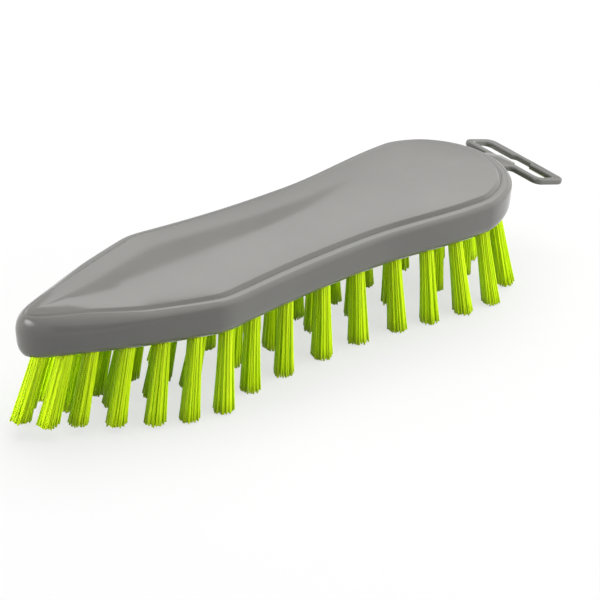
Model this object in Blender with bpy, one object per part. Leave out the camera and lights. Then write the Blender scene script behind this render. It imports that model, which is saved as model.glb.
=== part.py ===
"""Scrub brush with a pointed nose: moulded block, hanging loop and bristle tufts.

Units are metres and +Z is up. The brush stands on its cut bristles at Z = 0, +X runs from the nose
to the heel, and the two sides are mirror images in Y.
"""
import math

import bmesh
import bpy
from mathutils import Matrix, Vector

MM = 0.001

# Moulded block
BLOCK_LENGTH = 200.0 * MM
TAPER_HALF_WIDTH = 11.4 * MM
CORNER_HALF_WIDTH = 27.9 * MM
WAIST_HALF_WIDTH = 24.8 * MM
HEEL_HALF_WIDTH = 29.2 * MM
BRISTLE_LENGTH = 26.2 * MM
BLOCK_THICKNESS = 13.9 * MM
NOSE_RISE = 2.0 * MM
FOOT_RADIUS = 6.2 * MM
WALL_DRAFT = 0.35 * MM
SHOULDER_IN = 2.0 * MM
SHOULDER_DOWN = 1.8 * MM
SHOULDER_TURN_DEG = 80.0
CREASE_INSET = 3.4 * MM
CREASE_WIDTH = 0.3 * MM
CREASE_DEPTH = 0.35 * MM
STEP_WIDTH = 1.5 * MM
WAIST_STEP = 0.85 * MM
HEEL_STEP = 1.0 * MM
WAIST_CROWN = 2.2 * MM
HEEL_CROWN = 2.0 * MM

# Section at the nose, blunter than along the rest of the block
NOSE_SHOULDER_IN = 7.0 * MM
NOSE_SHOULDER_DOWN = 7.0 * MM
NOSE_SHOULDER_TURN_DEG = 64.0
NOSE_SHOULDER_LIFT = 1.5 * MM
NOSE_CREASE_INSET = 4.0 * MM
NOSE_CREASE_DEPTH = 0.05 * MM
NOSE_STEP = 0.4 * MM
NOSE_CROWN = 0.9 * MM
NOSE_SECTION_SHARES = ((-1.00, 1.00), (-0.80, 0.89), (-0.62, 0.20), (-0.45, 0.09), (-0.25, 0.00))

# Section round the heel, with a larger shoulder and a fainter crease
HEEL_SHOULDER_IN = 3.6 * MM
HEEL_SHOULDER_DOWN = 2.8 * MM
HEEL_SHOULDER_TURN_DEG = 72.0
HEEL_CREASE_DEPTH = 0.15 * MM
HEEL_SECTION_SHARES = ((0.88, 0.00), (0.98, 1.00))

# Outline of half the block, as shares of half its length, with the slope of the edge at each knot
TAPER_SHARE = -0.865
CORNER_IN_SHARE = -0.413
CORNER_OUT_SHARE = -0.276
WAIST_SHARE = 0.245
HEEL_SHARE = 0.751
TAPER_SLOPE = 0.467
CORNER_IN_SLOPE = 0.287
CORNER_OUT_SLOPE = -0.12
NOSE_HANDLE_SHARE = 0.435
SPAN_HANDLE_SHARE = 0.36
HEEL_HANDLE_SHARE = 0.22
TAIL_HANDLE_SHARE = 0.735
NOSE_STEPS = 8
TAPER_STEPS = 5
CORNER_STEPS = 5
WAIST_STEPS = 7
HEEL_STEPS = 7
TAIL_STEPS = 10
ROUND_STEPS = 4
NOSE_INSET_SHARES = ((-1.00, 0.60), (-0.92, 0.80), (-0.80, 1.00))
RISE_START_SHARE = 0.113
RISE_POWER = 2.0
SPINE_NOSE_SHARE = -0.90
SPINE_HEEL_SHARE = 0.78

# Step above the crease: place across and height, each as a share, and rings of the crown inside it
STEP_SHARES = ((0.33, 0.26), (0.67, 0.74), (1.00, 1.00))
CROWN_SHARES = (0.25, 0.55)

# Tufts and the blind holes that they are stapled into
HOLE_RADIUS = 2.7 * MM
HOLE_DEPTH = 7.0 * MM
SEAT_GAP = 0.3 * MM
ROOT_INSET = 7.6 * MM
INNER_INSET = 20.0 * MM
ROW_LEAST_HALF_WIDTH = 4.5 * MM
PLUG_PROUD = 0.4 * MM
PLUG_SIDES = 12
STRAND_COUNT = 6
STRAND_HALF_WIDTH = 0.54 * MM
STRAND_TIP_HALF_WIDTH = 0.78 * MM
STRAND_ROOT_RING = 1.60 * MM
STRAND_TIP_RING = 2.45 * MM
TIP_RISE = 5.0 * MM
TIP_RISE_START_SHARE = -0.50
TIP_RISE_POWER = 1.5
OUTER_SPLAY = 8.4 * MM
INNER_SPLAY = 0.6 * MM
SPLAY_ALONG_SHARE = 0.4
LEAN = 8.6 * MM
NOSE_TUFT_SHARE = -0.899
HEEL_TUFT_SHARE = 0.920
CENTRE_TUFT_SHARES = (-0.73, -0.36)
OUTER_TUFT_SHARES = (-0.839, -0.757, -0.650, -0.540, -0.433, -0.316, -0.197, -0.062,
                     0.095, 0.243, 0.397, 0.527, 0.642, 0.762, 0.868)
INNER_TUFT_SHARES = (-0.595, -0.450, -0.310, -0.160, 0.010, 0.180, 0.340, 0.500, 0.660, 0.815)

# Lean towards the nose (minus) or the heel (plus), as shares of the largest, along the block
LEAN_SHARES = ((-0.84, -1.18), (-0.75, -0.98), (-0.45, -0.88), (-0.31, -0.98), (-0.19, -0.58),
               (0.00, -0.36), (0.30, -0.06), (0.43, 0.00), (0.53, -0.10), (0.65, 0.16),
               (0.77, 0.04), (0.87, 0.06), (0.92, -0.15))

# Splay of the outer row, as shares of the largest, along the block
SPLAY_SHARES = ((-1.00, 0.14), (-0.75, 0.20), (-0.53, 0.72), (-0.31, 0.92), (-0.19, 0.45),
                (0.30, 0.48), (0.77, 0.86), (1.00, 1.50))

# Hanging loop, a flat plate that slopes down from the heel
LOOP_WIDTH = 39.7 * MM
LOOP_DEPTH = 14.8 * MM
LOOP_THICKNESS = 2.2 * MM
INNER_BAR = 3.0 * MM
OUTER_BAR = 4.0 * MM
END_BAR = 2.4 * MM
LOOP_CORNER_RADIUS = 3.4 * MM
SLOT_CORNER_RADIUS = 2.0 * MM
NOTCH_WIDTH = 7.0 * MM
NOTCH_DEPTH = 1.6 * MM
NOTCH_FLARE = 1.3 * MM
LOOP_EDGE = 0.5 * MM
LOOP_STANDOFF = 4.2 * MM
LOOP_DROP = 5.2 * MM
LOOP_TILT_DEG = -17.3
TONGUE_WIDTH = 13.0 * MM
TONGUE_DEPTH = 4.5 * MM
TONGUE_FILLET = 1.5 * MM
CORNER_ARC_STEPS = 4
MITRE_LEAST_SHARE = 0.3
CUT_OVERRUN = 3.0 * MM


def clear_objects():
    for item in list(bpy.data.objects):
        bpy.data.objects.remove(item, do_unlink=True)


def make_material(name, color, roughness):
    material = bpy.data.materials.new(name)
    material.use_nodes = True
    shader = material.node_tree.nodes["Principled BSDF"]
    shader.inputs["Base Color"].default_value = (*color, 1.0)
    shader.inputs["Roughness"].default_value = roughness
    shader.inputs["Metallic"].default_value = 0.0
    material.diffuse_color = (*color, 1.0)
    return material


def add_object(name, bm, material, parent):
    bmesh.ops.recalc_face_normals(bm, faces=bm.faces)
    mesh = bpy.data.meshes.new(name)
    bm.to_mesh(mesh)
    bm.free()
    mesh.materials.append(material)
    item = bpy.data.objects.new(name, mesh)
    bpy.context.collection.objects.link(item)
    item.parent = parent
    return item


def mix(a, b, share):
    return a + (b - a) * share


def ramp(value, table):
    """Straight-line reading of a table of (place, value) pairs, held level past its ends."""
    if value <= table[0][0]:
        return table[0][1]
    for (x0, y0), (x1, y1) in zip(table, table[1:]):
        if value <= x1:
            return mix(y0, y1, (value - x0) / (x1 - x0))
    return table[-1][1]


# The block's outline

def bezier(p0, h0, h1, p1, steps):
    points = []
    for i in range(steps + 1):
        t = i / steps
        s = 1.0 - t
        points.append(p0 * s ** 3 + h0 * 3.0 * t * s ** 2 + h1 * 3.0 * t ** 2 * s + p1 * t ** 3)
    return points


def half_outline():
    """Points and outward directions of one long edge in plan, from the nose to the heel."""
    half = BLOCK_LENGTH / 2
    nose = Vector((-half, 0.0))
    tail = Vector((half, 0.0))
    knots = [
        (TAPER_SHARE, TAPER_HALF_WIDTH, TAPER_SLOPE),
        (CORNER_IN_SHARE, CORNER_HALF_WIDTH, CORNER_IN_SLOPE),
        (CORNER_OUT_SHARE, CORNER_HALF_WIDTH, CORNER_OUT_SLOPE),
        (WAIST_SHARE, WAIST_HALF_WIDTH, 0.0),
        (HEEL_SHARE, HEEL_HALF_WIDTH, 0.0),
    ]
    places = [Vector((half * share, width)) for share, width, slope in knots]
    ways = [Vector((1.0, slope)).normalized() for share, width, slope in knots]
    span = places[0].x - nose.x
    points = bezier(nose, nose + Vector((0.0, TAPER_HALF_WIDTH * NOSE_HANDLE_SHARE)),
                    places[0] - ways[0] * span * NOSE_HANDLE_SHARE, places[0], NOSE_STEPS)
    steps = (TAPER_STEPS, CORNER_STEPS, WAIST_STEPS, HEEL_STEPS)
    for i, count in enumerate(steps):
        reach = (places[i + 1] - places[i]).length * SPAN_HANDLE_SHARE
        points += bezier(places[i], places[i] + ways[i] * reach,
                         places[i + 1] - ways[i + 1] * reach, places[i + 1], count)[1:]
    span = tail.x - places[-1].x
    points += bezier(places[-1], places[-1] + ways[-1] * span * HEEL_HANDLE_SHARE,
                     tail + Vector((0.0, HEEL_HALF_WIDTH * TAIL_HANDLE_SHARE)), tail,
                     TAIL_STEPS)[1:]
    outward = []
    for i, point in enumerate(points):
        before = points[max(i - 1, 0)]
        after = points[min(i + 1, len(points) - 1)]
        along = (after - before).normalized()
        outward.append(Vector((-along.y, along.x)))
    outward[0] = Vector((-1.0, 0.0))
    outward[-1] = Vector((1.0, 0.0))
    return points, outward


def inset_outline(insets):
    """A line inside the outline by one inset for each point, closer to it round the tight nose."""
    points, outward = half_outline()
    half = BLOCK_LENGTH / 2
    return [point - way * inset * ramp(point.x / half, NOSE_INSET_SHARES)
            for point, way, inset in zip(points, outward, insets)]


def evenly(inset):
    return [inset] * len(half_outline()[0])


def edge_at(x, inset):
    """Half width of the block at x, measured to an inset line, with that line's outward way."""
    line = inset_outline(evenly(inset))
    outward = half_outline()[1]
    for i in range(len(line) - 1):
        if line[i].x <= x <= line[i + 1].x:
            share = (x - line[i].x) / (line[i + 1].x - line[i].x)
            way = outward[i].lerp(outward[i + 1], share).normalized()
            return mix(line[i].y, line[i + 1].y, share), way
    return 0.0, Vector((math.copysign(1.0, x), 0.0))


def turned_up(x, start_share, height, power):
    """Height gained towards the nose from a starting place."""
    half = BLOCK_LENGTH / 2
    start = half * start_share
    if x >= start:
        return 0.0
    return height * ((start - x) / (start + half)) ** power


def underside_z(x):
    return BRISTLE_LENGTH + turned_up(x, RISE_START_SHARE, NOSE_RISE, RISE_POWER)


def section_size(x, plain, nose, heel):
    """A size of the section at x, from its plain value and those at the nose and the heel."""
    place = x / (BLOCK_LENGTH / 2)
    size = mix(plain, nose, ramp(place, NOSE_SECTION_SHARES))
    return mix(size, heel, ramp(place, HEEL_SECTION_SHARES))


def shoulder_z(x):
    """Height of the shoulder's inner edge, at the crease."""
    return underside_z(x) + BLOCK_THICKNESS + section_size(x, 0.0, NOSE_SHOULDER_LIFT, 0.0)


def along_waist(x, nose, waist, heel):
    """A size that is largest at the waist and falls away smoothly to both ends."""
    share = 0.5 + 0.5 * math.cos(math.pi * x / (BLOCK_LENGTH / 2))
    return mix(nose if x < 0.0 else heel, waist, share)


# Block

def foot_rings():
    """Rings of the rounded foot, from the edge of the underside up to the wall."""
    rings = []
    for i in range(ROUND_STEPS + 1):
        angle = math.pi / 2 * i / ROUND_STEPS
        inset = WALL_DRAFT + FOOT_RADIUS * (1.0 - math.sin(angle))
        up = FOOT_RADIUS * (1.0 - math.cos(angle))
        rings.append([(p.x, p.y, underside_z(p.x) + up) for p in inset_outline(evenly(inset))])
    return rings


def shoulder_rings():
    """Rings of the rounded shoulder, from the wall to the sloping band outside the crease."""
    places = [p.x for p in half_outline()[0]]
    wide = [section_size(x, SHOULDER_IN, NOSE_SHOULDER_IN, HEEL_SHOULDER_IN) for x in places]
    deep = [section_size(x, SHOULDER_DOWN, NOSE_SHOULDER_DOWN, HEEL_SHOULDER_DOWN) for x in places]
    degrees = (SHOULDER_TURN_DEG, NOSE_SHOULDER_TURN_DEG, HEEL_SHOULDER_TURN_DEG)
    turns = [math.radians(section_size(x, *degrees)) for x in places]
    rings = []
    for i in range(ROUND_STEPS + 1):
        insets, drops = [], []
        for reach, w, d, turn in zip(crease_insets(), wide, deep, turns):
            angle = turn * i / ROUND_STEPS
            full = min(w * (1.0 - math.cos(turn)), reach)
            insets.append(full * (1.0 - math.cos(angle)) / (1.0 - math.cos(turn)))
            band = (reach - full) * d / (w * math.tan(turn))
            drops.append(band + d * (math.sin(turn) - math.sin(angle)))
        rings.append([(p.x, p.y, shoulder_z(p.x) - drop)
                      for p, drop in zip(inset_outline(insets), drops)])
    return rings


def crease_insets():
    return [section_size(p.x, CREASE_INSET, NOSE_CREASE_INSET, CREASE_INSET)
            for p in half_outline()[0]]


def crease_depth(x):
    return section_size(x, CREASE_DEPTH, NOSE_CREASE_DEPTH, HEEL_CREASE_DEPTH)


def crease_line():
    """The bottom of the crease in plan."""
    return inset_outline([inset + CREASE_WIDTH for inset in crease_insets()])


def crease_rings():
    """The outer edge of the crease and its bottom."""
    outer = [(p.x, p.y, shoulder_z(p.x)) for p in inset_outline(crease_insets())]
    return [outer, [(p.x, p.y, shoulder_z(p.x) - crease_depth(p.x)) for p in crease_line()]]


def top_rings():
    """Rings from the crease in to the spine, for the raised and crowned top."""
    crease = crease_line()
    first, last = crease[0].x, crease[-1].x
    half = BLOCK_LENGTH / 2
    spine = []
    for p in crease:
        share = (p.x - first) / (last - first)
        spine.append(Vector((mix(half * SPINE_NOSE_SHARE, half * SPINE_HEEL_SHARE, share), 0.0)))
    rings = []
    for across, up in STEP_SHARES:
        rings.append([top_point(p, s, across * STEP_WIDTH / (s - p).length, up)
                      for p, s in zip(crease, spine)])
    for share in CROWN_SHARES:
        rings.append([top_point(p, s, mix(STEP_WIDTH / (s - p).length, 1.0, share), 1.0)
                      for p, s in zip(crease, spine)])
    rings.append([top_point(p, s, 1.0, 1.0) for p, s in zip(crease, spine)])
    return rings


def top_point(edge, spine, share, up):
    p = edge.lerp(spine, min(share, 1.0))
    depth = crease_depth(edge.x)
    step = along_waist(p.x, NOSE_STEP, WAIST_STEP, HEEL_STEP)
    crown = along_waist(p.x, NOSE_CROWN, WAIST_CROWN, HEEL_CROWN)
    crown *= 1.0 - (1.0 - min(share, 1.0)) ** 2
    return (p.x, p.y, shoulder_z(p.x) - depth + (depth + step + crown) * up)


def mirrored_ring(bm, ring):
    """Vertices round the whole ring: one side, then the other side back to the start."""
    near = [bm.verts.new(p) for p in ring]
    far = [bm.verts.new((x, -y, z)) for x, y, z in reversed(ring[1:-1])]
    return near + far


def block_mesh():
    bm = bmesh.new()
    rings = foot_rings() + shoulder_rings() + crease_rings() + top_rings()[:-1]
    loops = [mirrored_ring(bm, ring) for ring in rings]
    count = len(loops[0])
    for lower, upper in zip(loops, loops[1:]):
        for i in range(count):
            j = (i + 1) % count
            bm.faces.new((lower[i], lower[j], upper[j], upper[i]))
    last = len(rings[0]) - 1
    foot = loops[0]
    flat_start = BLOCK_LENGTH / 2 * RISE_START_SHARE
    first = next(i for i, p in enumerate(rings[0]) if p[0] > flat_start)
    for i in range(first):
        corners = (foot[i], foot[-i % count], foot[(-i - 1) % count], foot[i + 1])
        bm.faces.new(list(dict.fromkeys(corners)))
    bm.faces.new(foot[first:count - first + 1])
    spine = [bm.verts.new(p) for p in top_rings()[-1]]
    inner = loops[-1]
    for i in range(last):
        for a, b in ((inner[i], inner[i + 1]), (inner[-i % count], inner[(-i - 1) % count])):
            corners = (a, b, spine[i + 1], spine[i])
            bm.faces.new(list(dict.fromkeys(corners)))
    return bm


def hole_cutter(tufts, parent, material):
    """One mesh of all the drilled holes, with the slot for the loop's tongue."""
    bm = bmesh.new()
    for tuft in tufts:
        top = tuft.root - tuft.way * HOLE_DEPTH
        bottom = tuft.root + tuft.way * CUT_OVERRUN
        upper = circle_points(top, tuft, HOLE_RADIUS)
        lower = circle_points(bottom, tuft, HOLE_RADIUS)
        add_prism(bm, upper, lower)
    width = TONGUE_WIDTH / 2 + SEAT_GAP
    thick = LOOP_THICKNESS / 2 + SEAT_GAP
    inner = -(LOOP_STANDOFF + TONGUE_DEPTH)
    outer = -LOOP_STANDOFF + CUT_OVERRUN
    sides = ((-width, -thick), (width, -thick), (width, thick), (-width, thick))
    ends = []
    for along in (inner, outer):
        ends.append([loop_frame() @ Vector((along, across, up)) for across, up in sides])
    add_prism(bm, *ends)
    cutter = add_object("hole_cutter", bm, material, parent)
    cutter.hide_render = True
    cutter.display_type = "WIRE"
    return cutter


def add_prism(bm, start, end):
    """A closed prism between two like polygons."""
    first = [bm.verts.new(p) for p in start]
    last = [bm.verts.new(p) for p in end]
    count = len(first)
    bm.faces.new(first)
    bm.faces.new(list(reversed(last)))
    for i in range(count):
        j = (i + 1) % count
        bm.faces.new((first[i], last[i], last[j], first[j]))


def make_block(tufts, parent, material):
    block = add_object("block", block_mesh(), material, parent)
    cutter = hole_cutter(tufts, parent, material)
    cut = block.modifiers.new("drill_holes", "BOOLEAN")
    cut.operation = "DIFFERENCE"
    cut.solver = "EXACT"
    cut.object = cutter
    block.data.shade_smooth()
    return block


# Tufts

class Tuft:
    """Place of one tuft: its root on the underside, its tip, and the way it leans."""

    def __init__(self, name, x, y, splay_way, splay):
        self.name = name
        self.root = Vector((x, y, underside_z(x)))
        lean = LEAN * ramp(x / (BLOCK_LENGTH / 2), LEAN_SHARES)
        self.tip = Vector((x + lean, y, 0.0))
        self.tip.x += splay_way.x * splay * SPLAY_ALONG_SHARE
        self.tip.y += splay_way.y * splay
        self.tip.z = trim_z(self.tip.x)
        self.way = (self.tip - self.root).normalized()
        self.side = Vector((-self.way.z, 0.0, self.way.x)).normalized()
        self.across = self.way.cross(self.side)


def trim_z(x):
    return turned_up(x, TIP_RISE_START_SHARE, TIP_RISE, TIP_RISE_POWER)


def circle_points(centre, tuft, radius):
    points = []
    for i in range(PLUG_SIDES):
        angle = 2.0 * math.pi * (i + 0.5) / PLUG_SIDES
        points.append(centre + tuft.side * radius * math.cos(angle)
                      + tuft.across * radius * math.sin(angle))
    return points


def strand_square(centre, ring, half_width, angle, u, v):
    """Four corners of one strand, turned to face outwards from the middle of its tuft."""
    out = u * math.cos(angle) + v * math.sin(angle)
    along = v * math.cos(angle) - u * math.sin(angle)
    middle = centre + out * ring
    return [middle + out * half_width * a + along * half_width * b
            for a, b in ((-1, -1), (1, -1), (1, 1), (-1, 1))]


def tuft_mesh(tuft):
    """A round root plug that carries spread four-sided strands, as one closed body."""
    bm = bmesh.new()
    radius = HOLE_RADIUS - SEAT_GAP
    top = tuft.root - tuft.way * (HOLE_DEPTH - SEAT_GAP)
    face = tuft.root + tuft.way * PLUG_PROUD
    upper = [bm.verts.new(p) for p in circle_points(top, tuft, radius)]
    lower = [bm.verts.new(p) for p in circle_points(face, tuft, radius)]
    bm.faces.new(upper)
    for i in range(PLUG_SIDES):
        j = (i + 1) % PLUG_SIDES
        bm.faces.new((upper[i], lower[i], lower[j], upper[j]))
    edges = [bm.edges.get((lower[i], lower[(i + 1) % PLUG_SIDES])) for i in range(PLUG_SIDES)]
    rings = [(0.0, 0.0, 0.0)]
    rings += [(2.0 * math.pi * i / STRAND_COUNT, STRAND_ROOT_RING, STRAND_TIP_RING)
              for i in range(STRAND_COUNT)]
    level_u, level_v = Vector((1.0, 0.0, 0.0)), Vector((0.0, 1.0, 0.0))
    if tuft.across.y < 0.0:
        level_v.negate()
    for angle, root_ring, tip_ring in rings:
        start = strand_square(face, root_ring, STRAND_HALF_WIDTH, angle, tuft.side, tuft.across)
        end = strand_square(tuft.tip, tip_ring, STRAND_TIP_HALF_WIDTH, angle, level_u, level_v)
        start = [bm.verts.new(p) for p in start]
        end = [bm.verts.new(p) for p in end]
        for i in range(4):
            j = (i + 1) % 4
            bm.faces.new((start[i], end[i], end[j], start[j]))
            edges.append(bm.edges.get((start[i], start[j])))
        bm.faces.new(end)
    bmesh.ops.triangle_fill(bm, use_beauty=True, edges=edges, normal=tuft.way)
    return bm


def plan_tufts():
    """Every tuft of the field: an outer row round the edge, an inner row and a few between."""
    half = BLOCK_LENGTH / 2
    x = half * NOSE_TUFT_SHARE
    tufts = [Tuft("tuft_nose", x, 0.0, Vector((0.0, 0.0)), 0.0)]
    x = half * HEEL_TUFT_SHARE
    tufts.append(Tuft("tuft_heel", x, 0.0, Vector((1.0, 0.0)), INNER_SPLAY))
    for number, share in enumerate(CENTRE_TUFT_SHARES, start=1):
        tufts.append(Tuft(f"tuft_centre_{number}", half * share, 0.0, Vector((0.0, 0.0)), 0.0))
    level = ((0.0, 1.0),)
    rows = (("outer", OUTER_TUFT_SHARES, ROOT_INSET, OUTER_SPLAY, SPLAY_SHARES),
            ("inner", INNER_TUFT_SHARES, INNER_INSET, INNER_SPLAY, level))
    for row, shares, inset, most, table in rows:
        for side, sign in (("left", -1.0), ("right", 1.0)):
            for number, share in enumerate(shares, start=1):
                x = half * share
                splay = most * ramp(share, table)
                y, way = edge_at(x, ROOT_INSET)
                y = max(y - (inset - ROOT_INSET), ROW_LEAST_HALF_WIDTH)
                tufts.append(Tuft(f"tuft_{row}_{side}_{number:02d}", x, sign * y,
                                  Vector((way.x, sign * way.y)), splay))
    return tufts


def make_tufts(tufts, parent, material):
    for tuft in tufts:
        add_object(tuft.name, tuft_mesh(tuft), material, parent)


# Hanging loop

def loop_frame():
    """Local frame of the loop: X out along its slope, Y across the block, Z out of the plate."""
    half = BLOCK_LENGTH / 2
    place = Vector((half + LOOP_STANDOFF, 0.0, shoulder_z(half) - LOOP_DROP))
    tilt = Matrix.Rotation(-math.radians(LOOP_TILT_DEG), 4, "Y")
    return Matrix.Translation(place) @ tilt


def arc(x, y, radius, start_deg, end_deg):
    points = []
    for i in range(CORNER_ARC_STEPS + 1):
        angle = math.radians(mix(start_deg, end_deg, i / CORNER_ARC_STEPS))
        points.append(Vector((x + radius * math.cos(angle), y + radius * math.sin(angle))))
    return points


def loop_outline():
    """Outer edge of the plate, anticlockwise: ring, neck and tongue in one."""
    wide = LOOP_WIDTH / 2
    r = LOOP_CORNER_RADIUS
    f = TONGUE_FILLET
    neck = TONGUE_WIDTH / 2
    end = -(LOOP_STANDOFF + TONGUE_DEPTH - SEAT_GAP)
    points = [Vector((end, -neck))]
    points += arc(-f, -neck - f, f, 90.0, 0.0)
    points += arc(r, -wide + r, r, 180.0, 270.0)
    points += arc(LOOP_DEPTH - r, -wide + r, r, 270.0, 360.0)
    mirrored = [Vector((p.x, -p.y)) for p in reversed(points)]
    return points + mirrored


def slot_outline():
    """The opening, anticlockwise: a long slot that steps outwards in the middle of both bars."""
    wide = LOOP_WIDTH / 2 - END_BAR
    r = SLOT_CORNER_RADIUS
    inner = INNER_BAR
    outer = LOOP_DEPTH - OUTER_BAR
    notch = NOTCH_WIDTH / 2
    points = [Vector((inner + NOTCH_DEPTH, -notch)), Vector((inner, -notch - NOTCH_FLARE))]
    points += arc(inner + r, -wide + r, r, 180.0, 270.0)
    points += arc(outer - r, -wide + r, r, 270.0, 360.0)
    points.append(Vector((outer, -notch - NOTCH_FLARE)))
    points.append(Vector((outer + NOTCH_DEPTH, -notch)))
    mirrored = [Vector((p.x, -p.y)) for p in reversed(points)]
    return points + mirrored


def offset_polygon(points, distance):
    """Move each corner inwards (or outwards when negative) by its mitre."""
    moved = []
    count = len(points)
    for i, point in enumerate(points):
        before = (point - points[i - 1]).normalized()
        after = (points[(i + 1) % count] - point).normalized()
        bisector = (Vector((-before.y, before.x)) + Vector((-after.y, after.x))).normalized()
        lean = max(bisector.dot(Vector((-before.y, before.x))), MITRE_LEAST_SHARE)
        moved.append(point + bisector * distance / lean)
    return moved


def plate_mesh(outline, opening):
    bm = bmesh.new()
    half = LOOP_THICKNESS / 2
    levels = ((LOOP_EDGE, -half), (0.0, LOOP_EDGE - half), (0.0, half - LOOP_EDGE),
              (LOOP_EDGE, half))
    caps = {0: [], len(levels) - 1: []}
    for polygon, sign in ((outline, 1.0), (opening, -1.0)):
        rings = []
        for inset, up in levels:
            ring = offset_polygon(polygon, inset * sign)
            rings.append([bm.verts.new((p.x, p.y, up)) for p in ring])
        count = len(polygon)
        for lower, upper in zip(rings, rings[1:]):
            for i in range(count):
                j = (i + 1) % count
                bm.faces.new((lower[i], lower[j], upper[j], upper[i]))
        for level, edges in caps.items():
            ring = rings[level]
            edges += [bm.edges.get((ring[i], ring[(i + 1) % count])) for i in range(count)]
    for edges in caps.values():
        bmesh.ops.triangle_fill(bm, use_beauty=True, edges=edges)
    return bm


def make_loop(parent, material):
    loop = add_object("hanging_loop", plate_mesh(loop_outline(), slot_outline()), material, parent)
    loop.matrix_local = loop_frame()
    return loop


def centre_on_length(stand):
    """Shift the brush along X so that its overall length is centred on the origin."""
    bpy.context.view_layer.update()
    places = [item.matrix_world @ vertex.co for item in stand.children
              if not item.hide_render for vertex in item.data.vertices]
    low = min(p.x for p in places)
    high = max(p.x for p in places)
    stand.location.x = -(low + high) / 2
    bpy.context.view_layer.update()


def build_brush():
    clear_objects()
    grey = make_material("grey_plastic", (0.222, 0.220, 0.206), 0.24)
    lime = make_material("lime_bristle", (0.68, 0.94, 0.004), 0.38)
    stand = bpy.data.objects.new("brush", None)
    bpy.context.collection.objects.link(stand)
    tufts = plan_tufts()
    make_block(tufts, stand, grey)
    make_tufts(tufts, stand, lime)
    make_loop(stand, grey)
    centre_on_length(stand)


build_brush()
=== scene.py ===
"""Looks of the scrub brush: moulded block, hanging loop, bristle tufts, floor, light and camera.

Metres, +Z up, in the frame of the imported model. The brush stands on its bristles at Z = 0, with its
nose at -X and its hanging loop at +X.
"""
import math

import bmesh
import bpy
from mathutils import Matrix, Vector, noise


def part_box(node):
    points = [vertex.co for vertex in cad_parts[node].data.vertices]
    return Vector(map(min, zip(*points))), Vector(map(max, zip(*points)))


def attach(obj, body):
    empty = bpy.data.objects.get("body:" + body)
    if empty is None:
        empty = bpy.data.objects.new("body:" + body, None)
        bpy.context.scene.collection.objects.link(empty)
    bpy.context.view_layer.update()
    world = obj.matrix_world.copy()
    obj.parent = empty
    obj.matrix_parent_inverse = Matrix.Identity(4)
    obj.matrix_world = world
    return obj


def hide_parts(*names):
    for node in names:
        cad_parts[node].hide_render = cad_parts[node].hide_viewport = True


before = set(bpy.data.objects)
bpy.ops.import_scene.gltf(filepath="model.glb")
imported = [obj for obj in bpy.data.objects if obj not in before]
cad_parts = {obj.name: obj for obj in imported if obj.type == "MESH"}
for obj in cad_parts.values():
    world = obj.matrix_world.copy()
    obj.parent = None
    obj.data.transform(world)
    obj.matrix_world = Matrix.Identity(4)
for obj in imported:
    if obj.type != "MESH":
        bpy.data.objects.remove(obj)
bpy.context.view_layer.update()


# Block
# One solid moulding in warm grey plastic, with a smooth top that swells up inside a creased edge.
# It comes out of a two-part mould, and each hole under it is drilled for a tuft.

MM = 0.001
BLOCK_HALF = 100.0 * MM
BLOCK_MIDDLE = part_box("block")[0].x + BLOCK_HALF

# The long edge in plan. Each knot is a share of the half length, a half width in mm and a slope.
# The reaches are the lengths of the curves' handles, as shares of the span or the half width.
EDGE_KNOTS = ((-0.865, 11.4, 0.467), (-0.413, 27.9, 0.287), (-0.276, 27.9, -0.12),
              (0.245, 24.8, 0.0), (0.751, 29.2, 0.0))
EDGE_STEPS = (24, 16, 14, 24, 22, 34)
NOSE_REACH, KNOT_REACH, HEEL_REACH, HEEL_FULLNESS = 0.435, 0.36, 0.22, 0.735
NOSE_INSETS = ((-1.00, 0.60), (-0.92, 0.80), (-0.80, 1.00))

# Heights, the wall and its rounded foot. The underside rises from RISE_START towards the nose.
UNDERSIDE = 26.2 * MM
THICKNESS = 13.9 * MM
NOSE_RISE = 2.0 * MM
RISE_START = 0.113
FOOT_RADIUS = 6.2 * MM
WALL_DRAFT = 0.35 * MM

# The shoulder, the crease inside it and the step up from it. Three sizes stand for the plain
# section and those at the nose and the heel. The tables say how much of these two there is.
NOSE_SECTION = ((-1.00, 1.00), (-0.80, 0.89), (-0.62, 0.20), (-0.45, 0.09), (-0.25, 0.00))
HEEL_SECTION = ((0.88, 0.00), (0.98, 1.00))
SHOULDER_IN = (2.0 * MM, 7.0 * MM, 3.6 * MM)
SHOULDER_DOWN = (1.8 * MM, 7.0 * MM, 2.8 * MM)
SHOULDER_TURN = (math.radians(80.0), math.radians(64.0), math.radians(72.0))
SHOULDER_LIFT = (0.0, 1.5 * MM, 0.0)
CREASE_INSET = (3.4 * MM, 4.0 * MM, 3.4 * MM)
CREASE_DEPTH = (0.35 * MM, 0.05 * MM, 0.15 * MM)
CREASE_WIDTH = 0.3 * MM
STEP_WIDTH = (1.5 * MM, 1.5 * MM, 3.0 * MM)

# The top: heights of its step and crown, the spine that it rises to, and the fineness of the mesh.
NOSE_STEP, WAIST_STEP, HEEL_STEP = 0.4 * MM, 0.85 * MM, 1.0 * MM
NOSE_CROWN, WAIST_CROWN, HEEL_CROWN = 0.9 * MM, 2.2 * MM, 2.0 * MM
SPINE_NOSE, SPINE_HEEL = -0.90, 0.78
ROUND_STEPS, STEP_STEPS, CROWN_STEPS = 9, 10, 12
SHARP_ANGLE = math.radians(70.0)
NORMAL_WEIGHT = 60

# The drilled holes, and how a tuft's solid is read: its plug ends in a ring of corners.
HOLE_RADIUS = 2.7 * MM
HOLE_DEPTH = 7.0 * MM
HOLE_END_GAP = 0.3 * MM
HOLE_SIDES = 28
PLUG_CORNERS = 12
TIP_LAYER = 0.05 * MM

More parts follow.
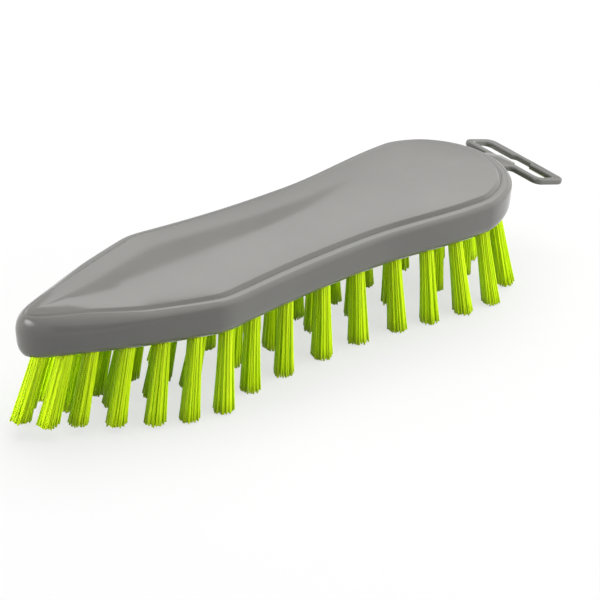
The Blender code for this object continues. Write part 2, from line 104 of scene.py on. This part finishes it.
# Grey plastic: two close greys and two finishes mixed by the flow marks, and a fine grain.
GREY_DARK, GREY_LIGHT = (0.156, 0.154, 0.145, 1.0), (0.171, 0.169, 0.159, 1.0)
GREY_SPREAD = (0.30, 0.72)
GREY_ROUGHNESS = (0.09, 0.13)
GREY_ROUGHNESS_SPREAD = (0.3, 0.7)
GREY_IOR = 1.49
FLOW_SCALE, FLOW_DETAIL, FLOW_ROUGHNESS = 34.0, 4.0, 0.55
GRAIN_SCALE, GRAIN_DETAIL = 1500.0, 2.0
GRAIN_STRENGTH, GRAIN_HEIGHT = 0.25, 0.03 * MM


def mix(a, b, share):
    return a + (b - a) * share


def ramp(value, table):
    """The value at a place in a table of (place, value) rows, straight between the rows."""
    if value <= table[0][0]:
        return table[0][1]
    for (x0, y0), (x1, y1) in zip(table, table[1:]):
        if value <= x1:
            return mix(y0, y1, (value - x0) / (x1 - x0))
    return table[-1][1]


def smooth(share):
    return share * share * (3.0 - 2.0 * share)


def curved(p0, h0, h1, p1, steps):
    """Points of a smooth curve from p0 to p1, led by the handles h0 and h1."""
    points = []
    for i in range(steps + 1):
        t = i / steps
        s = 1.0 - t
        points.append(p0 * s ** 3 + h0 * 3.0 * t * s ** 2 + h1 * 3.0 * t ** 2 * s + p1 * t ** 3)
    return points


def block_edge():
    """Points of one long edge in plan and the way out of the block at each."""
    nose, tail = Vector((-BLOCK_HALF, 0.0)), Vector((BLOCK_HALF, 0.0))
    places = [Vector((BLOCK_HALF * share, width * MM)) for share, width, _ in EDGE_KNOTS]
    ways = [Vector((1.0, slope)).normalized() for _, _, slope in EDGE_KNOTS]
    span = places[0].x - nose.x
    points = curved(nose, nose + Vector((0.0, places[0].y * NOSE_REACH)),
                    places[0] - ways[0] * span * NOSE_REACH, places[0], EDGE_STEPS[0])
    for i in range(len(places) - 1):
        reach = (places[i + 1] - places[i]).length * KNOT_REACH
        points += curved(places[i], places[i] + ways[i] * reach,
                         places[i + 1] - ways[i + 1] * reach, places[i + 1], EDGE_STEPS[i + 1])[1:]
    span = tail.x - places[-1].x
    points += curved(places[-1], places[-1] + ways[-1] * span * HEEL_REACH,
                     tail + Vector((0.0, places[-1].y * HEEL_FULLNESS)), tail, EDGE_STEPS[-1])[1:]
    outward = []
    for i in range(len(points)):
        along = (points[min(i + 1, len(points) - 1)] - points[max(i - 1, 0)]).normalized()
        outward.append(Vector((-along.y, along.x)))
    outward[0], outward[-1] = Vector((-1.0, 0.0)), Vector((1.0, 0.0))
    return points, outward


edge, outward = block_edge()


def inset_edge(insets):
    """The edge moved in by one inset for each point, less round the tight nose."""
    return [p - way * inset * ramp(p.x / BLOCK_HALF, NOSE_INSETS)
            for p, way, inset in zip(edge, outward, insets)]


def underside_z(x):
    start = BLOCK_HALF * RISE_START
    if x >= start:
        return UNDERSIDE
    return UNDERSIDE + NOSE_RISE * ((start - x) / (start + BLOCK_HALF)) ** 2


def section_size(x, sizes):
    """A size of the section at x, from its plain value and those at the nose and the heel."""
    plain, nose, heel = sizes
    size = mix(plain, nose, ramp(x / BLOCK_HALF, NOSE_SECTION))
    return mix(size, heel, ramp(x / BLOCK_HALF, HEEL_SECTION))


def shoulder_z(x):
    return underside_z(x) + THICKNESS + section_size(x, SHOULDER_LIFT)


def along_waist(x, nose, waist, heel):
    """A size at x that is the waist's in the middle and turns smoothly into those at the ends."""
    return mix(nose if x < 0.0 else heel, waist, 0.5 + 0.5 * math.cos(math.pi * x / BLOCK_HALF))


def top_point(p, spine, share, up):
    """A point of the top, a share of the way from crease to spine, and risen by the share up."""
    share = min(share, 1.0)
    low = section_size(p.x, CREASE_DEPTH)
    p = p.lerp(spine, share)
    step = along_waist(p.x, NOSE_STEP, WAIST_STEP, HEEL_STEP)
    crown = along_waist(p.x, NOSE_CROWN, WAIST_CROWN, HEEL_CROWN) * (1.0 - (1.0 - share) ** 2)
    return (p.x, p.y, shoulder_z(p.x) - low + (low + step + crown) * up)


def block_rings():
    """Cross-sections from the edge of the underside, up the wall and over the top to its spine."""
    rings = []
    for i in range(ROUND_STEPS + 1):
        angle = math.pi / 2 * i / ROUND_STEPS
        inset = WALL_DRAFT + FOOT_RADIUS * (1.0 - math.sin(angle))
        up = FOOT_RADIUS * (1.0 - math.cos(angle))
        foot = inset_edge([inset] * len(edge))
        rings.append([(p.x, p.y, underside_z(p.x) + up) for p in foot])
    for i in range(ROUND_STEPS + 1):
        insets, drops = [], []
        for p in edge:
            wide, deep = section_size(p.x, SHOULDER_IN), section_size(p.x, SHOULDER_DOWN)
            reach, turn = section_size(p.x, CREASE_INSET), section_size(p.x, SHOULDER_TURN)
            angle = turn * i / ROUND_STEPS
            full = min(wide * (1.0 - math.cos(turn)), reach)
            insets.append(full * (1.0 - math.cos(angle)) / (1.0 - math.cos(turn)))
            drops.append((reach - full) * deep / (wide * math.tan(turn))
                         + deep * (math.sin(turn) - math.sin(angle)))
        shoulder = inset_edge(insets)
        rings.append([(p.x, p.y, shoulder_z(p.x) - drop) for p, drop in zip(shoulder, drops)])
    reaches = [section_size(p.x, CREASE_INSET) for p in edge]
    rings.append([(p.x, p.y, shoulder_z(p.x)) for p in inset_edge(reaches)])
    crease = inset_edge([reach + CREASE_WIDTH for reach in reaches])
    rings.append([(p.x, p.y, shoulder_z(p.x) - section_size(p.x, CREASE_DEPTH)) for p in crease])
    first, last = crease[0].x, crease[-1].x
    spine = [Vector((BLOCK_HALF * mix(SPINE_NOSE, SPINE_HEEL, (p.x - first) / (last - first)), 0.0))
             for p in crease]
    shares = [section_size(p.x, STEP_WIDTH) / (s - p).length for p, s in zip(crease, spine)]
    for i in range(1, STEP_STEPS + 1):
        t = i / STEP_STEPS
        rings.append([top_point(p, s, t * share, smooth(t))
                      for p, s, share in zip(crease, spine, shares)])
    for i in range(1, CROWN_STEPS + 1):
        t = i / CROWN_STEPS
        rings.append([top_point(p, s, mix(share, 1.0, t), 1.0)
                      for p, s, share in zip(crease, spine, shares)])
    return rings


def block_body():
    """The closed skin of the block: its rings, a flat underside in strips, and the top's spine."""
    bm = bmesh.new()
    rings = block_rings()
    loops = []
    for ring in rings[:-1]:
        near = [bm.verts.new(p) for p in ring]
        loops.append(near + [bm.verts.new((x, -y, z)) for x, y, z in reversed(ring[1:-1])])
    count = len(loops[0])
    for lower, upper in zip(loops, loops[1:]):
        for i in range(count):
            j = (i + 1) % count
            bm.faces.new((lower[i], lower[j], upper[j], upper[i]))
    foot = loops[0]
    flat = BLOCK_HALF * RISE_START
    first = next(i for i, p in enumerate(rings[0]) if p[0] > flat)
    for i in range(first):
        corners = (foot[i], foot[-i % count], foot[(-i - 1) % count], foot[i + 1])
        bm.faces.new(list(dict.fromkeys(corners)))
    bm.faces.new(foot[first:count - first + 1])
    spine = [bm.verts.new(p) for p in rings[-1]]
    inner = loops[-1]
    for i in range(len(rings[0]) - 1):
        for a, b in ((inner[i], inner[i + 1]), (inner[-i % count], inner[(-i - 1) % count])):
            bm.faces.new(list(dict.fromkeys((a, b, spine[i + 1], spine[i]))))
    bmesh.ops.recalc_face_normals(bm, faces=bm.faces)
    bmesh.ops.translate(bm, verts=bm.verts, vec=(BLOCK_MIDDLE, 0.0, 0.0))
    return bm


def tuft_axis(node):
    """Where a tuft's plug ends in the block, and the middle of its cut tip, from its CAD node."""
    places = sorted((v.co.copy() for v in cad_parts[node].data.vertices), key=lambda p: p.z)
    tips = [p for p in places if p.z < places[0].z + TIP_LAYER]
    top = sum(places[-PLUG_CORNERS:], Vector()) / PLUG_CORNERS
    return top, sum(tips, Vector()) / len(tips)


tuft_nodes = sorted(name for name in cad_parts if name.startswith("tuft_"))
tuft_axes = {name: tuft_axis(name) for name in tuft_nodes}


def drill_bits():
    """One closed rod for each drilled hole, joined in one mesh."""
    bm = bmesh.new()
    for top, tip in tuft_axes.values():
        way = (tip - top).normalized()
        turn = Vector((0.0, 0.0, -1.0)).rotation_difference(way).to_matrix().to_4x4()
        length = HOLE_DEPTH * 2
        middle = top - way * HOLE_END_GAP + way * length / 2
        bmesh.ops.create_cone(bm, cap_ends=True, segments=HOLE_SIDES, radius1=HOLE_RADIUS,
                              radius2=HOLE_RADIUS, depth=length,
                              matrix=Matrix.Translation(middle) @ turn)
    return bm


def add_piece(name, bm):
    mesh = bpy.data.meshes.new(name)
    bm.to_mesh(mesh)
    bm.free()
    piece = bpy.data.objects.new(name, mesh)
    bpy.context.scene.collection.objects.link(piece)
    return piece


block = add_piece("moulded_block", block_body())
bits = add_piece("drill_bits", drill_bits())
cut = block.modifiers.new("drilled_holes", "BOOLEAN")
cut.operation = "DIFFERENCE"
cut.solver = "EXACT"
cut.object = bits
bpy.context.view_layer.update()
cut_block = block.evaluated_get(bpy.context.evaluated_depsgraph_get())
drilled = bpy.data.meshes.new_from_object(cut_block)
block.modifiers.remove(cut)
block.data = drilled
bpy.data.objects.remove(bits)
drilled.shade_smooth()
drilled.set_sharp_from_angle(angle=SHARP_ANGLE)
weights = block.modifiers.new("even_normals", "WEIGHTED_NORMAL")
weights.keep_sharp = True
weights.weight = NORMAL_WEIGHT


def new_material(name):
    """A new material, its nodes and links, and its shader."""
    material = bpy.data.materials.new(name)
    material.use_nodes = True
    nodes, links = material.node_tree.nodes, material.node_tree.links
    return material, nodes, links, nodes["Principled BSDF"]


def mottle(nodes, scale, detail, roughness=0.5):
    """A soft uneven pattern from 0 to 1."""
    texture = nodes.new("ShaderNodeTexNoise")
    texture.inputs["Scale"].default_value = scale
    texture.inputs["Detail"].default_value = detail
    texture.inputs["Roughness"].default_value = roughness
    return texture


def two_tone(nodes, spread, tones):
    """Two colours, pure at the two values of spread and mixed between them."""
    tint = nodes.new("ShaderNodeValToRGB")
    for element, place, tone in zip(tint.color_ramp.elements, spread, tones):
        element.position, element.color = place, tone
    return tint


def spread_over(nodes, start, end):
    """Takes a value between the two numbers of start to its place between the two of end."""
    level = nodes.new("ShaderNodeMapRange")
    level.inputs["From Min"].default_value, level.inputs["From Max"].default_value = start
    level.inputs["To Min"].default_value, level.inputs["To Max"].default_value = end
    return level


def grey_plastic():
    """Satin moulded plastic: a fine grain, faint flow marks and a slightly uneven gloss."""
    material, nodes, links, shader = new_material("grey_plastic_moulded")
    shader.inputs["IOR"].default_value = GREY_IOR
    place = nodes.new("ShaderNodeTexCoord")
    flow = mottle(nodes, FLOW_SCALE, FLOW_DETAIL, FLOW_ROUGHNESS)
    grain = mottle(nodes, GRAIN_SCALE, GRAIN_DETAIL)
    tint = two_tone(nodes, GREY_SPREAD, (GREY_DARK, GREY_LIGHT))
    gloss = spread_over(nodes, GREY_ROUGHNESS_SPREAD, GREY_ROUGHNESS)
    bump = nodes.new("ShaderNodeBump")
    bump.inputs["Strength"].default_value = GRAIN_STRENGTH
    bump.inputs["Distance"].default_value = GRAIN_HEIGHT
    links.new(place.outputs["Object"], flow.inputs["Vector"])
    links.new(place.outputs["Object"], grain.inputs["Vector"])
    links.new(flow.outputs["Fac"], tint.inputs["Fac"])
    links.new(tint.outputs["Color"], shader.inputs["Base Color"])
    links.new(flow.outputs["Fac"], gloss.inputs["Value"])
    links.new(gloss.outputs["Result"], shader.inputs["Roughness"])
    links.new(grain.outputs["Fac"], bump.inputs["Height"])
    links.new(bump.outputs["Normal"], shader.inputs["Normal"])
    return material


grey = grey_plastic()
block.data.materials.clear()
block.data.materials.append(grey)
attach(block, "root")
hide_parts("block")


# Hanging loop
# A flat ring of the same grey plastic round a long slot, with a shallow notch in its outer bar.
# Its tongue goes into a pocket in the heel of the block, and every edge is rounded.

LOOP_WIDTH, LOOP_DEPTH = 39.7 * MM, 14.8 * MM
LOOP_THICKNESS = 2.2 * MM
INNER_BAR, OUTER_BAR, END_BAR = 3.0 * MM, 4.0 * MM, 2.4 * MM
LOOP_CORNER, SLOT_CORNER = 3.4 * MM, 2.0 * MM
NOTCH_WIDTH, NOTCH_DEPTH, NOTCH_FLARE = 7.0 * MM, 1.6 * MM, 1.3 * MM
LOOP_STANDOFF = 4.2 * MM
LOOP_DROP = 5.2 * MM
LOOP_TILT = math.radians(17.3)
NECK_WIDTH = 13.0 * MM
TONGUE_DEPTH = 4.2 * MM
NECK_FILLET = 1.5 * MM
LOOP_ROUND = 0.75 * MM
LOOP_ROUND_STEPS = 5
RIM_ANGLE = math.radians(80.0)
LOOP_SHARP_ANGLE = math.radians(40.0)
SAME_HEIGHT = 0.001 * MM


def arc(x, y, radius, start, end, steps=9):
    """Points of a rounded corner about x, y, from one angle to another in degrees."""
    points = []
    for i in range(steps + 1):
        angle = math.radians(mix(start, end, i / steps))
        points.append(Vector((x + radius * math.cos(angle), y + radius * math.sin(angle))))
    return points


def loop_outlines():
    """The outer and the inner outline in plan, with the loop's inner side at X = 0."""
    wide, r, f, neck = LOOP_WIDTH / 2, LOOP_CORNER, NECK_FILLET, NECK_WIDTH / 2
    outer = [Vector((-(LOOP_STANDOFF + TONGUE_DEPTH), -neck))]
    outer += arc(-f, -neck - f, f, 90.0, 0.0)
    outer += arc(r, -wide + r, r, 180.0, 270.0)
    outer += arc(LOOP_DEPTH - r, -wide + r, r, 270.0, 360.0)
    wide, r = wide - END_BAR, SLOT_CORNER
    far = LOOP_DEPTH - OUTER_BAR
    inner = [Vector((INNER_BAR + NOTCH_DEPTH, -NOTCH_WIDTH / 2)),
             Vector((INNER_BAR, -NOTCH_WIDTH / 2 - NOTCH_FLARE))]
    inner += arc(INNER_BAR + r, -wide + r, r, 180.0, 270.0)
    inner += arc(far - r, -wide + r, r, 270.0, 360.0)
    inner.append(Vector((far, -NOTCH_WIDTH / 2 - NOTCH_FLARE)))
    inner.append(Vector((far + NOTCH_DEPTH, -NOTCH_WIDTH / 2)))
    return [half + [Vector((p.x, -p.y)) for p in reversed(half)] for half in (outer, inner)]


def is_rim(e):
    """Whether an edge is a sharp one that runs round the upper or the lower face."""
    if len(e.link_faces) != 2 or abs(e.calc_face_angle()) <= RIM_ANGLE:
        return False
    return abs(e.verts[0].co.z - e.verts[1].co.z) < SAME_HEIGHT


def loop_body():
    bm = bmesh.new()
    edges = []
    half = LOOP_THICKNESS / 2
    for outline in loop_outlines():
        ring = [bm.verts.new((p.x, p.y, -half)) for p in outline]
        edges += [bm.edges.new(pair) for pair in zip(ring, ring[1:] + ring[:1])]
    bmesh.ops.triangle_fill(bm, use_beauty=True, edges=edges)
    top = bmesh.ops.extrude_face_region(bm, geom=list(bm.faces))
    raised = [item for item in top["geom"] if isinstance(item, bmesh.types.BMVert)]
    bmesh.ops.translate(bm, verts=raised, vec=(0.0, 0.0, LOOP_THICKNESS))
    bmesh.ops.recalc_face_normals(bm, faces=bm.faces)
    rims = [e for e in bm.edges if is_rim(e)]
    bmesh.ops.bevel(bm, geom=rims, offset=LOOP_ROUND, segments=LOOP_ROUND_STEPS, profile=0.5,
                    affect="EDGES")
    place = (BLOCK_MIDDLE + BLOCK_HALF + LOOP_STANDOFF, 0.0, shoulder_z(BLOCK_HALF) - LOOP_DROP)
    bm.transform(Matrix.Translation(place) @ Matrix.Rotation(LOOP_TILT, 4, "Y"))
    return bm


loop = add_piece("slotted_hanging_loop", loop_body())
loop.data.shade_smooth()
loop.data.set_sharp_from_angle(angle=LOOP_SHARP_ANGLE)
loop.data.materials.append(grey)
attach(loop, "root")
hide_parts("hanging_loop")


# Bristle tufts
# Each tuft is a bundle of drawn lime-green plastic filaments, folded into its drilled hole and
# spreading a little towards its tip, where the ends have been trimmed and brushed uneven.

FILAMENTS = 96
FILAMENT_RADIUS = 0.33 * MM
RADIUS_VARIES = 0.10
FILAMENT_SIDES = 5
FILAMENT_STEPS = 6

# The bundle: its radius at root and tip, how far it starts inside its hole, and how its filaments
# bow. From one filament to the next is a turn in radians that fills the round evenly.
BUNDLE_ROOT, BUNDLE_TIP = 2.35 * MM, 3.40 * MM
SUNK = 1.5 * MM
BOW, BOW_STRAY = 0.35 * MM, 0.3 * MM
FILAMENT_TURN = 2.399963

# Tips: they stray sideways, and stand up by TIP_LEAST and an uneven share of TIP_RAGGED more. In
# the middle of the tuft the share is RAGGED_INSIDE of what it is at the outside. The paces give
# each filament of each tuft a place of its own in the pattern that makes them uneven.
TIP_STRAY = 0.30 * MM
TIP_LEAST = 0.13 * MM
TIP_RAGGED = 0.9 * MM
RAGGED_INSIDE = 0.35
TUFT_PACE, FILAMENT_PACE = 7.31, 1.73

# Lime bristle: two close limes in fine streaks along the filament, with a faint painted glow that
# stands in for the light that comes through it.
LIME_DARK, LIME_LIGHT = (0.66, 0.94, 0.002, 1.0), (0.76, 1.0, 0.006, 1.0)
LIME_SPREAD = (0.28, 0.74)
LIME_ROUGHNESS, LIME_IOR, LIME_SPECULAR = 0.38, 1.50, 0.3
# The painted glow, its colour and strength, stands in for light shining through the filaments.
LIME_PAINTED_GLOW, LIME_PAINTED_GLOW_STRENGTH = (0.60, 1.0, 0.0, 1.0), 0.02
STREAK_SCALE, STREAK_DETAIL, STREAK_STRETCH = 900.0, 2.0, 0.12


def scatter(seed, k):
    """Three steady numbers between -1 and 1 for one filament of one tuft."""
    cell = Vector((seed * TUFT_PACE, k * FILAMENT_PACE, 0.5))
    return noise.cell_vector(cell) * 2.0 - Vector((1.0, 1.0, 1.0))


def filament(bm, start, bend, end, radius):
    """One closed filament from start to end, bowed towards bend."""
    rings = []
    for i in range(FILAMENT_STEPS + 1):
        t = i / FILAMENT_STEPS
        s = 1.0 - t
        middle = start * s * s + bend * 2.0 * s * t + end * t * t
        along = ((bend - start) * s + (end - bend) * t).normalized()
        side = along.cross(Vector((0.0, 1.0, 0.0))).normalized()
        across = along.cross(side)
        ring = []
        for k in range(FILAMENT_SIDES):
            angle = 2.0 * math.pi * k / FILAMENT_SIDES
            out = side * math.cos(angle) + across * math.sin(angle)
            ring.append(bm.verts.new(middle + out * radius))
        rings.append(ring)
    for lower, upper in zip(rings, rings[1:]):
        for k in range(FILAMENT_SIDES):
            j = (k + 1) % FILAMENT_SIDES
            bm.faces.new((lower[k], lower[j], upper[j], upper[k])).smooth = True
    bm.faces.new(reversed(rings[0]))
    bm.faces.new(rings[-1])


def tuft_body(seed, top, tip):
    """A bundle round at its root, square to the tuft's way, and cut level at its tip."""
    bm = bmesh.new()
    way = (tip - top).normalized()
    root = top + way * (HOLE_DEPTH - SUNK)
    level_u = Vector((1.0, 0.0, 0.0))
    u = (level_u - way * level_u.dot(way)).normalized()
    v = way.cross(u)
    level_v = Vector((0.0, 1.0 if v.y > 0.0 else -1.0, 0.0))
    for k in range(FILAMENTS):
        spread = math.sqrt((k + 0.5) / FILAMENTS)
        angle = FILAMENT_TURN * k + seed
        a, b, c = scatter(seed, k)
        out = u * math.cos(angle) + v * math.sin(angle)
        level = level_u * math.cos(angle) + level_v * math.sin(angle)
        start = root + out * BUNDLE_ROOT * spread
        end = tip + level * BUNDLE_TIP * spread + (level_u * a + level_v * b) * TIP_STRAY
        end.z += TIP_LEAST + TIP_RAGGED * (0.5 + 0.5 * c) * mix(RAGGED_INSIDE, 1.0, spread)
        bend = start.lerp(end, 0.5) - level * BOW * spread + (u * b + v * c) * BOW_STRAY
        filament(bm, start, bend, end, FILAMENT_RADIUS * (1.0 + RADIUS_VARIES * a))
    return bm


def lime_bristle():
    """Drawn filament: a clear lime with faint streaks along it, a soft shine and a faint painted
    glow.
    """
    material, nodes, links, shader = new_material("lime_bristle_filament")
    shader.inputs["IOR"].default_value = LIME_IOR
    shader.inputs["Roughness"].default_value = LIME_ROUGHNESS
    shader.inputs["Specular IOR Level"].default_value = LIME_SPECULAR
    # The emission is a painted glow, standing in for light that shines through the filaments.
    shader.inputs["Emission Color"].default_value = LIME_PAINTED_GLOW
    shader.inputs["Emission Strength"].default_value = LIME_PAINTED_GLOW_STRENGTH
    place = nodes.new("ShaderNodeTexCoord")
    stretch = nodes.new("ShaderNodeMapping")
    stretch.inputs["Scale"].default_value = (1.0, 1.0, STREAK_STRETCH)
    streaks = mottle(nodes, STREAK_SCALE, STREAK_DETAIL)
    tint = two_tone(nodes, LIME_SPREAD, (LIME_DARK, LIME_LIGHT))
    links.new(place.outputs["Object"], stretch.inputs["Vector"])
    links.new(stretch.outputs["Vector"], streaks.inputs["Vector"])
    links.new(streaks.outputs["Fac"], tint.inputs["Fac"])
    links.new(tint.outputs["Color"], shader.inputs["Base Color"])
    return material


lime = lime_bristle()
for number, (node, (top, tip)) in enumerate(tuft_axes.items()):
    tuft = add_piece(node.replace("tuft", "bristles"), tuft_body(number, top, tip))
    tuft.data.materials.append(lime)
    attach(tuft, "root")
    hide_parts(node)


# Floor
# A plain sheet of pale matt paper on a studio table, which the brush stands on. It glows a little
# where it is looked at, so that it looks white, and keeps the soft shadow under the bristles.

FLOOR_HALF = 3.0
PAPER_SHADE = (0.22, 0.22, 0.22, 1.0)
PAPER_ROUGHNESS = 0.9
PAPER_GLOW = 0.68
WHITE = (1.0, 1.0, 1.0, 1.0)


def glow_where_seen(nodes, links, socket, plain, seen):
    """The strength is plain for light that falls on things, and seen to the camera and in shine."""
    rays = nodes.new("ShaderNodeLightPath")
    level = spread_over(nodes, (0.0, 1.0), (plain, seen))
    total = rays.outputs["Is Camera Ray"]
    for kind in ("Is Glossy Ray", "Is Transmission Ray"):
        either = nodes.new("ShaderNodeMath")
        either.operation = "MAXIMUM"
        links.new(total, either.inputs[0])
        links.new(rays.outputs[kind], either.inputs[1])
        total = either.outputs["Value"]
    links.new(total, level.inputs["Value"])
    links.new(level.outputs["Result"], socket)


def sheet(name, corners):
    bm = bmesh.new()
    bm.faces.new([bm.verts.new(corner) for corner in corners])
    return add_piece(name, bm)


floor = sheet("floor", ((-FLOOR_HALF, -FLOOR_HALF, 0.0), (FLOOR_HALF, -FLOOR_HALF, 0.0),
                        (FLOOR_HALF, FLOOR_HALF, 0.0), (-FLOOR_HALF, FLOOR_HALF, 0.0)))
paper, nodes, links, shader = new_material("pale_paper")
shader.inputs["Base Color"].default_value = PAPER_SHADE
shader.inputs["Roughness"].default_value = PAPER_ROUGHNESS
shader.inputs["Specular IOR Level"].default_value = 0.0
shader.inputs["Emission Color"].default_value = WHITE
glow_where_seen(nodes, links, shader.inputs["Emission Strength"], 0.0, PAPER_GLOW)
floor.data.materials.append(paper)


# Lamps and surround
# A broad softbox overhead, a little behind the heel, with weaker fills at the heel's side, low in
# front and beside the nose, in a dim even surround. The lamps themselves show in no reflection.

LAMP_AIM = Vector((0.0, 0.0, 0.03))
LAMPS = (
    # name, place, width and depth, watts
    ("overhead_softbox", (0.35, 0.25, 1.1), (1.5, 1.5), 22.5),
    ("side_fill", (1.0, -0.5, 0.30), (0.8, 0.5), 6.0),
    ("front_fill", (0.50, -1.03, 0.24), (0.8, 0.36), 7.8),
    ("nose_fill", (-0.85, 0.40, 0.16), (0.5, 0.25), 8.5),
)
SURROUND_FILL, SURROUND_SEEN = 0.10, 1.0


def softbox(name, place, size, watts):
    lamp = bpy.data.lights.new(name, "AREA")
    lamp.shape = "RECTANGLE"
    lamp.size, lamp.size_y = size
    lamp.energy = watts
    stand = bpy.data.objects.new(name, lamp)
    bpy.context.scene.collection.objects.link(stand)
    back = (Vector(place) - LAMP_AIM).normalized()
    turn = back.to_track_quat("Z", "Y").to_matrix().to_4x4()
    stand.matrix_world = Matrix.Translation(place) @ turn
    stand.visible_glossy = False


for lamp_row in LAMPS:
    softbox(*lamp_row)

world = bpy.data.worlds.new("studio")
bpy.context.scene.world = world
world.use_nodes = True
nodes, links = world.node_tree.nodes, world.node_tree.links
nodes["Background"].inputs["Color"].default_value = WHITE
glow_where_seen(nodes, links, nodes["Background"].inputs["Strength"], SURROUND_FILL, SURROUND_SEEN)


# Panels and cards
# Glowing panels and dim cards, flat and upright, that stand round the table for what the plastic
# reflects. The camera doesn't see them, so they don't hide the brush in a view from behind.

# The panel beyond the far side grows brighter towards its top and gives the block's top its shine.
PANEL_HEIGHTS = (0.03, 0.875)
PANEL_GLOW = (0.12, 2.45)

# The panel beside the nose fades out round its middle and gives the nose a small soft highlight.
# Outside the radius it is as bright as the surround.
NOSE_GLOW_MIDDLE = (-0.773, -0.207, 0.60)
NOSE_GLOW_RADIUS = 0.48
NOSE_GLOW = (1.0, 9.0)

# The dim cards darken the panel's surround, a band of the top, and the near wall.
BLACK = (0.0, 0.0, 0.0, 1.0)
CARD_SHADE = (0.02, 0.02, 0.02, 1.0)
CARD_ROUGHNESS = 0.9
CARD_GLOW = 0.45


def glowing(name):
    """A black sheet with a white glow, its place, and the socket for the strength of the glow."""
    material, nodes, links, shader = new_material(name)
    shader.inputs["Base Color"].default_value = BLACK
    shader.inputs["Specular IOR Level"].default_value = 0.0
    shader.inputs["Emission Color"].default_value = WHITE
    place = nodes.new("ShaderNodeTexCoord").outputs["Object"]
    return material, nodes, links, place, shader.inputs["Emission Strength"]


def graded_glow():
    """Grows from the lower strength to the upper between two heights."""
    material, nodes, links, place, strength = glowing("graded_glow")
    split = nodes.new("ShaderNodeSeparateXYZ")
    level = spread_over(nodes, PANEL_HEIGHTS, PANEL_GLOW)
    links.new(place, split.inputs["Vector"])
    links.new(split.outputs["Z"], level.inputs["Value"])
    links.new(level.outputs["Result"], strength)
    return material


def soft_glow():
    """Fades smoothly from the upper strength at its middle to the lower one at its radius."""
    material, nodes, links, place, strength = glowing("soft_glow")
    away = nodes.new("ShaderNodeVectorMath")
    away.operation = "DISTANCE"
    away.inputs[1].default_value = NOSE_GLOW_MIDDLE
    level = spread_over(nodes, (NOSE_GLOW_RADIUS, 0.0), NOSE_GLOW)
    level.interpolation_type = "SMOOTHSTEP"
    links.new(place, away.inputs[0])
    links.new(away.outputs["Value"], level.inputs["Value"])
    links.new(level.outputs["Result"], strength)
    return material


def dim_card():
    material, nodes, links, shader = new_material("dim_card")
    shader.inputs["Base Color"].default_value = CARD_SHADE
    shader.inputs["Roughness"].default_value = CARD_ROUGHNESS
    shader.inputs["Emission Color"].default_value = WHITE
    shader.inputs["Emission Strength"].default_value = CARD_GLOW
    return material


def stand_card(name, azimuth, away, corners, material, lights):
    """Stands a sheet upright at a direction and distance from the brush. Its corners are distances
    to the right and heights. With lights off, it only shows in reflections."""
    a = math.radians(azimuth)
    way = Vector((math.cos(a), math.sin(a), 0.0))
    side = Vector((math.sin(a), -math.cos(a), 0.0))
    card = sheet(name, [way * away + side * u + Vector((0.0, 0.0, z)) for u, z in corners])
    card.data.materials.append(material)
    card.visible_camera = False
    card.visible_diffuse = card.visible_shadow = lights


dim = dim_card()
stand_card("glow_panel", 47.0, 1.0,
           ((-0.33, 0.03), (0.32, 0.03), (0.32, 1.30), (0.11, 1.22), (-0.02, 1.08),
            (-0.115, 0.99), (-0.33, 0.84)), graded_glow(), True)
stand_card("back_card", 47.0, 1.03,
           ((-0.80, 0.02), (0.36, 0.02), (0.36, 1.70), (-0.80, 1.70)), dim, True)
stand_card("band_card", 51.0, 0.9,
           ((-0.105, 0.375), (-0.028, 0.370), (-0.010, 0.40), (-0.008, 0.50),
            (-0.025, 0.545), (-0.06, 0.57), (-0.17, 0.60), (-0.17, 0.46)), dim, True)
stand_card("nose_card", 195.0, 0.8,
           ((-0.85, 0.0), (0.85, 0.0), (0.85, 1.50), (-0.85, 1.50)), soft_glow(), False)
stand_card("front_card", -100.0, 1.3,
           ((-1.3, 0.02), (1.3, 0.02), (1.3, 0.80), (-1.3, 0.80)), dim, False)


# Camera
# A long lens that looks down on the near side from the nose end of the brush, as in the photograph.
# Its angles are in degrees, and the roll turns it a little about its own line of sight.

VIEW_AZIMUTH, VIEW_ELEVATION, VIEW_ROLL = -38.761, 30.236, 0.784
VIEW_DISTANCE = 1028.04 * MM
VIEW_TARGET = Vector((BLOCK_MIDDLE + 14.63 * MM, 0.0, 9.693 * MM))
LENS_LENGTH, LENS_FILM_WIDTH = 180.0, 36.0
CLIP_NEAR, CLIP_FAR = 0.05, 20.0

a, e, r = (math.radians(value) for value in (VIEW_AZIMUTH, VIEW_ELEVATION, VIEW_ROLL))
back = Vector((math.sin(a) * math.cos(e), -math.cos(a) * math.cos(e), math.sin(e)))
right = Vector((math.cos(a), math.sin(a), 0.0))
up = back.cross(right)
right, up = right * math.cos(r) + up * math.sin(r), up * math.cos(r) - right * math.sin(r)
lens = bpy.data.cameras.new("studio_camera")
lens.lens, lens.sensor_width, lens.sensor_fit = LENS_LENGTH, LENS_FILM_WIDTH, "HORIZONTAL"
lens.clip_start, lens.clip_end = CLIP_NEAR, CLIP_FAR
camera = bpy.data.objects.new("studio_camera", lens)
bpy.context.scene.collection.objects.link(camera)
turn = Matrix((right, up, back)).transposed().to_4x4()
camera.matrix_world = Matrix.Translation(VIEW_TARGET + back * VIEW_DISTANCE) @ turn
bpy.context.scene.camera = camera
bpy.context.scene.view_settings.view_transform = "Standard"
